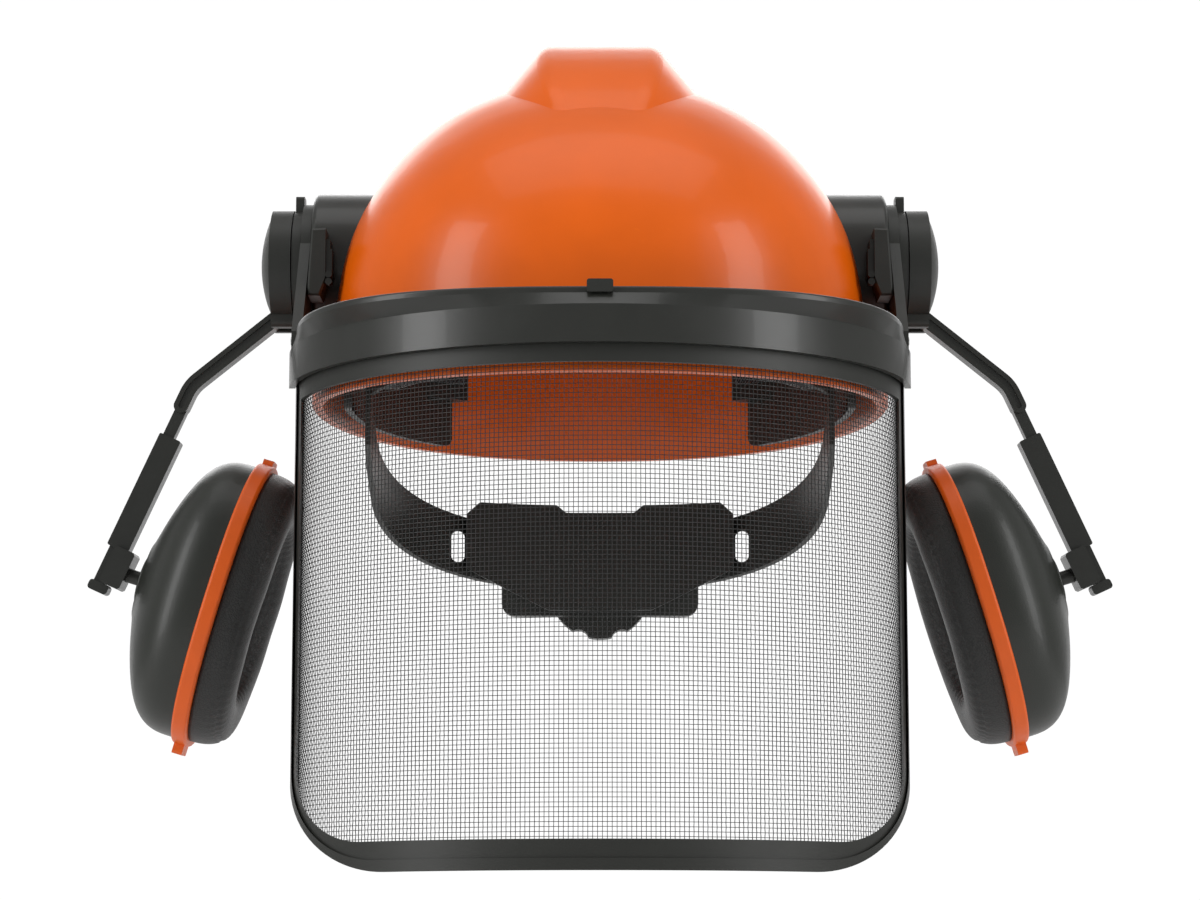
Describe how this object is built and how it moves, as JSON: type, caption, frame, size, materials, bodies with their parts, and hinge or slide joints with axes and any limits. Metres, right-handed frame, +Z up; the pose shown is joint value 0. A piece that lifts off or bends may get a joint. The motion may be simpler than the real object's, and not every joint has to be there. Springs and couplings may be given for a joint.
{
  "type": "hard hat",
  "caption": "Forestry hard hat: glossy orange shell with a crown ridge, tilting woven-mesh visor, swing-out ear defenders and a ratchet headband.",
  "frame": {"origin": "centre of the head opening, level with the shell's rim", "axes": "+Z up through the crown, -Y towards the visor, +X to the wearer's left"},
  "size_m": [0.4276, 0.3412, 0.3478],
  "materials": {
    "shell_orange": "glossy moulded shell",
    "ring_orange": "satin moulded ring",
    "black_gloss": "semi-gloss moulded",
    "black_matte": "satin moulded",
    "cup_black": "satin moulded cup",
    "steel": "zinc plated",
    "wire": "black coated woven wire",
    "webbing": "woven tape",
    "padding": "terry padding",
    "foam": "open cell foam",
    "cushion_vinyl": "soft vinyl"
  },
  "bodies": {
    "helmet": {"shell": "shell_orange", "pivot_bosses": "black_gloss", "backing_plates": "black_matte", "boss_screws": "steel", "pivot_pins": "black_matte", "pivot_washers": "steel", "pivot_screws": "steel", "stop_blocks": "black_matte", "stop_leaves": "steel", "stop_screws": "steel", "headband": "black_matte", "sweatband": "padding", "side_brackets": "black_matte", "band_hooks": "black_matte", "left_rear_strap": "black_matte", "right_rear_strap": "black_matte", "cradle_keys": "black_matte", "crown_strap_a": "webbing", "crown_strap_b": "webbing", "crown_pad": "padding", "nape_pad": "black_matte", "ratchet_housing": "black_matte", "housing_cover": "black_matte"},
    "visor": {"brow_guard": "black_gloss", "guard_roof": "black_gloss", "centre_latch": "black_matte", "visor_frame": "black_matte", "visor_mesh": "wire", "visor_rivets": "steel", "left_visor_arm": "black_matte", "right_visor_arm": "black_matte"},
    "knob": {"ratchet_knob": "black_matte", "knob_shaft": "steel", "pinion": "black_matte"},
    "left_rack_body": {"left_rack": "black_matte"},
    "right_rack_body": {"right_rack": "black_matte"},
    "left_release": {"left_release_tab": "black_matte"},
    "left_turner": {"left_turning_disc": "black_matte", "left_disc_cap": "black_matte", "left_swing_pin": "steel"},
    "left_arm": {"left_muff_arm": "black_gloss"},
    "left_slider": {"left_slide_block": "black_gloss"},
    "left_muff": {"left_muff_cup": "cup_black", "left_cup_pin": "steel", "left_muff_ring": "ring_orange", "left_baffle_plate": "black_matte", "left_sound_foam": "foam", "left_ear_cushion": "cushion_vinyl"},
    "right_release": {"right_release_tab": "black_matte"},
    "right_turner": {"right_turning_disc": "black_matte", "right_disc_cap": "black_matte", "right_swing_pin": "steel"},
    "right_arm": {"right_muff_arm": "black_gloss"},
    "right_slider": {"right_slide_block": "black_gloss"},
    "right_muff": {"right_muff_cup": "cup_black", "right_cup_pin": "steel", "right_muff_ring": "ring_orange", "right_baffle_plate": "black_matte", "right_sound_foam": "foam", "right_ear_cushion": "cushion_vinyl"}
  },
  "joints": [
    {"name": "visor_tilt", "type": "hinge", "parent": "helmet", "child": "visor", "pos_m": [0, -0.022, 0.0624], "axis": [-1, 0, 0], "range_deg": [0, 95]},
    {"name": "knob_turn", "type": "hinge", "parent": "helmet", "child": "knob", "pos_m": [0, 0.15, -0.06], "axis": [0, 1, 0], "range_deg": [-76, 76]},
    {"name": "left_rack_slide", "type": "slide", "parent": "helmet", "child": "left_rack_body", "axis": [1, 0, 0], "range_m": [-0.008, 0.008]},
    {"name": "right_rack_slide", "type": "slide", "parent": "helmet", "child": "right_rack_body", "axis": [-1, 0, 0], "range_m": [-0.008, 0.008]},
    {"name": "left_release_push", "type": "slide", "parent": "helmet", "child": "left_release", "axis": [0, 0, -1], "range_m": [0, 0.002], "stiffness_N_per_m": 300},
    {"name": "left_muff_turn", "type": "hinge", "parent": "helmet", "child": "left_turner", "pos_m": [0.13, -0.022, 0.0624], "axis": [1, 0, 0], "range_deg": [0, 100]},
    {"name": "left_arm_swing", "type": "hinge", "parent": "left_turner", "child": "left_arm", "pos_m": [0.1348, -0.022, 0.0417], "axis": [0, 1, 0], "range_deg": [0, 16.8]},
    {"name": "left_height_slide", "type": "slide", "parent": "left_arm", "child": "left_slider", "axis": [-0.4159, 0, 0.9094], "range_m": [0, 0.01]},
    {"name": "left_cup_turn", "type": "hinge", "parent": "left_slider", "child": "left_muff", "pos_m": [0.1566, -0.022, -0.0805], "axis": [0.9573, 0, 0.289], "range_deg": [-15, 15]},
    {"name": "right_release_push", "type": "slide", "parent": "helmet", "child": "right_release", "axis": [0, 0, -1], "range_m": [0, 0.002], "stiffness_N_per_m": 300},
    {"name": "right_muff_turn", "type": "hinge", "parent": "helmet", "child": "right_turner", "pos_m": [-0.13, -0.022, 0.0624], "axis": [1, 0, 0], "range_deg": [0, 100]},
    {"name": "right_arm_swing", "type": "hinge", "parent": "right_turner", "child": "right_arm", "pos_m": [-0.1348, -0.022, 0.0417], "axis": [0, -1, 0], "range_deg": [0, 16.8]},
    {"name": "right_height_slide", "type": "slide", "parent": "right_arm", "child": "right_slider", "axis": [0.4159, 0, 0.9094], "range_m": [0, 0.01]},
    {"name": "right_cup_turn", "type": "hinge", "parent": "right_slider", "child": "right_muff", "pos_m": [-0.1566, -0.022, -0.0805], "axis": [-0.9573, 0, 0.289], "range_deg": [-15, 15]}
  ],
  "couplings": [
    {"joint": "left_rack_slide", "follows": "knob_turn", "m_per_rad": 0.006},
    {"joint": "right_rack_slide", "follows": "knob_turn", "m_per_rad": 0.006}
  ]
}
